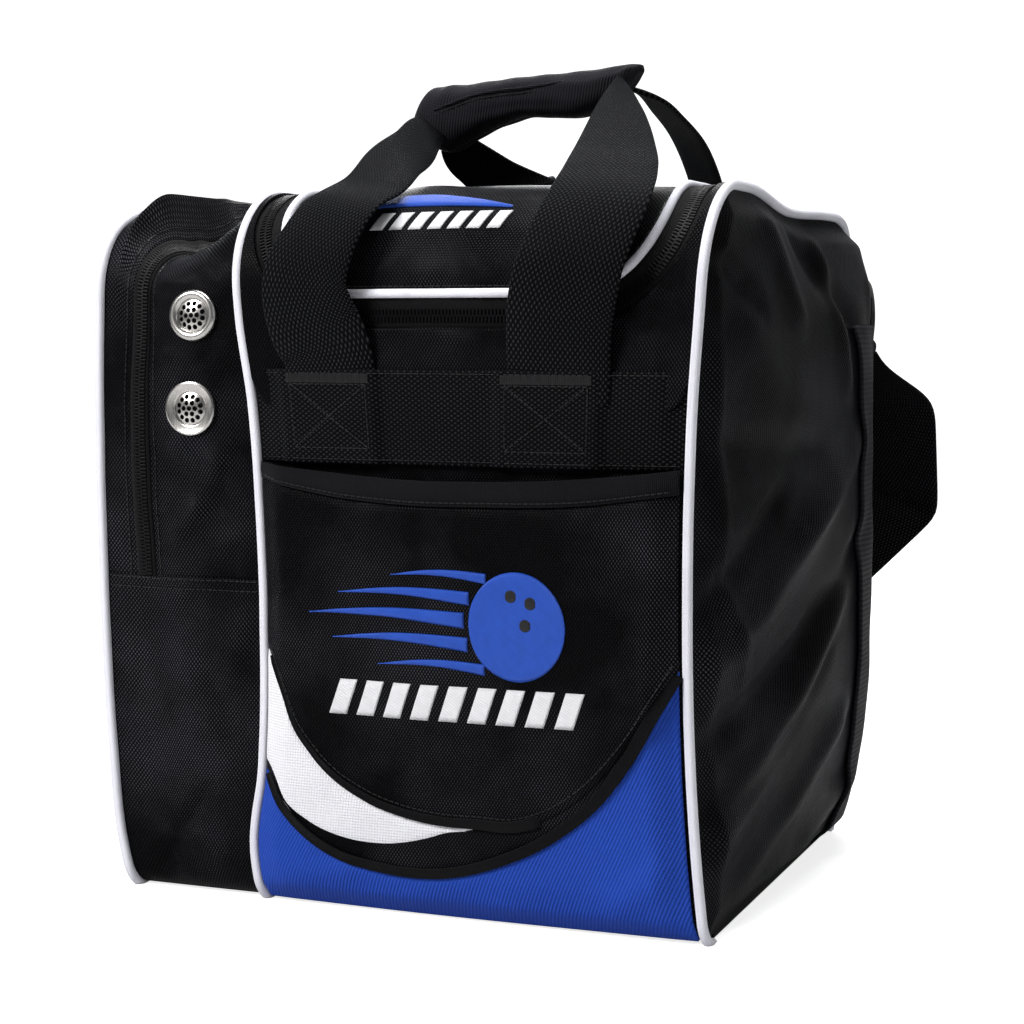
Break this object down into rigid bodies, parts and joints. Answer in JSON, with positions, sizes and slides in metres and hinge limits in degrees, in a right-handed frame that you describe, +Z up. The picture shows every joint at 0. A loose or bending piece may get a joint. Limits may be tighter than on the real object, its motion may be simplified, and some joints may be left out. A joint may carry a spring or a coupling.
{
  "type": "bowling ball bag",
  "caption": "Single-ball bowling bag in black nylon with white piping, a zipped lid, a side shoe compartment, a front slip pocket, webbing handles in a wrap grip and a shoulder strap.",
  "frame": {"origin": "centre of the base, on the surface the bag stands on", "axes": "+X to the right with the shoe compartment at -X, +Y from the front pocket to the back, +Z up"},
  "size_m": [0.391, 0.3155, 0.4375],
  "materials": {
    "fabric_black": "woven nylon with a diamond weave and a soft sheen",
    "fabric_white": "ribbed white nylon",
    "fabric_blue": "ribbed blue nylon",
    "piping_white": "white piping cord cover",
    "webbing_black": "coarse woven webbing, matte",
    "zip_tape": "fine woven zip tape",
    "zip_teeth": "nylon coil, satin",
    "zip_metal": "black enamel",
    "eyelet_steel": "pressed steel, satin to bright",
    "ring_plastic": "moulded black plastic",
    "board": "stiff fibre board",
    "foam": "closed-cell foam"
  },
  "bodies": {
    "bag": {"base_panel": "fabric_black", "front_panel": "fabric_black", "back_panel": "fabric_black", "lid_rim": "fabric_black", "right_side_panel": "fabric_black", "divider_panel": "fabric_black", "pocket_panel": "fabric_black", "pocket_welt": "fabric_black", "shoe_lower_gusset": "fabric_black", "shoe_inner_gusset": "fabric_black", "shoe_lower_panel": "fabric_black", "pocket_white_panel": "fabric_white", "pocket_blue_panel": "fabric_blue", "right_piping": "piping_white", "inner_piping": "piping_white", "outer_piping": "piping_white", "pocket_binding": "webbing_black", "front_band": "webbing_black", "back_band": "webbing_black", "front_handle_anchors": "webbing_black", "back_handle_anchors": "webbing_black", "side_webbing": "webbing_black", "ring_loops": "webbing_black", "rim_zip_tape": "zip_tape", "shoe_zip_tape": "zip_tape", "rim_zip_teeth": "zip_teeth", "shoe_zip_teeth": "zip_teeth", "eyelet_rims": "eyelet_steel", "eyelet_screens": "eyelet_steel", "eyelet_washers": "eyelet_steel", "d_ring_right": "ring_plastic", "d_ring_left": "ring_plastic", "base_board": "board", "ball_cup": "foam"},
    "lid": {"lid_panel": "fabric_black", "lid_piping": "piping_white", "lid_zip_tape": "zip_tape", "lid_zip_teeth": "zip_teeth"},
    "lid_slider": {"lid_zip_slider": "zip_metal"},
    "lid_pull": {"lid_zip_pull": "zip_metal"},
    "shoe_flap": {"shoe_flap_panel": "fabric_black", "shoe_flap_gusset": "fabric_black", "shoe_flap_piping": "piping_white", "shoe_flap_zip_tape": "zip_tape", "shoe_flap_zip_teeth": "zip_teeth"},
    "shoe_slider": {"shoe_zip_slider": "zip_metal"},
    "shoe_pull": {"shoe_zip_pull": "zip_metal"},
    "front_handle": {"front_handle": "webbing_black", "grip_front_half": "fabric_black"},
    "back_handle": {"back_handle": "webbing_black", "grip_back_half": "fabric_black"},
    "strap": {"shoulder_strap": "webbing_black"},
    "strap_slide": {"strap_adjuster": "ring_plastic"}
  },
  "joints": [
    {"name": "lid_hinge", "type": "hinge", "parent": "bag", "child": "lid", "pos_m": [0, 0.095, 0.367], "axis": [-1, 0, 0], "range_deg": [0, 84]},
    {"name": "front_handle_swing", "type": "hinge", "parent": "bag", "child": "front_handle", "pos_m": [0, -0.142, 0.286], "axis": [1, 0, 0], "range_deg": [0, 160]},
    {"name": "back_handle_swing", "type": "hinge", "parent": "bag", "child": "back_handle", "pos_m": [0, 0.142, 0.286], "axis": [-1, 0, 0], "range_deg": [0, 110]},
    {"name": "lid_zip_slide", "type": "slide", "parent": "lid", "child": "lid_slider", "axis": [0, -1, 0], "range_m": [0, 0.12]},
    {"name": "lid_zip_pull_turn", "type": "hinge", "parent": "lid_slider", "child": "lid_pull", "pos_m": [-0.071, 0.055, 0.3712], "axis": [1, 0, 0], "range_deg": [0, 160]},
    {"name": "shoe_flap_hinge", "type": "hinge", "parent": "bag", "child": "shoe_flap", "pos_m": [-0.171, 0, 0.168], "axis": [0, -1, 0], "range_deg": [0, 95]},
    {"name": "shoe_zip_slide", "type": "slide", "parent": "shoe_flap", "child": "shoe_slider", "axis": [0, 0, -1], "range_m": [0, 0.11]},
    {"name": "shoe_zip_pull_turn", "type": "hinge", "parent": "shoe_slider", "child": "shoe_pull", "pos_m": [-0.146, 0.1392, 0.308], "axis": [1, 0, 0], "range_deg": [0, 160]},
    {"name": "strap_swing", "type": "hinge", "parent": "bag", "child": "strap", "pos_m": [0, 0.141, 0.304], "axis": [1, 0, 0], "range_deg": [0, 130]},
    {"name": "strap_adjust", "type": "slide", "parent": "strap", "child": "strap_slide", "axis": [-0.7071, 0, 0.7071], "range_m": [0, 0.03]}
  ],
  "couplings": [
    {"joint": "front_handle_swing", "follows": "lid_hinge", "ratio": 1.9},
    {"joint": "back_handle_swing", "follows": "lid_hinge", "ratio": 1.3}
  ]
}
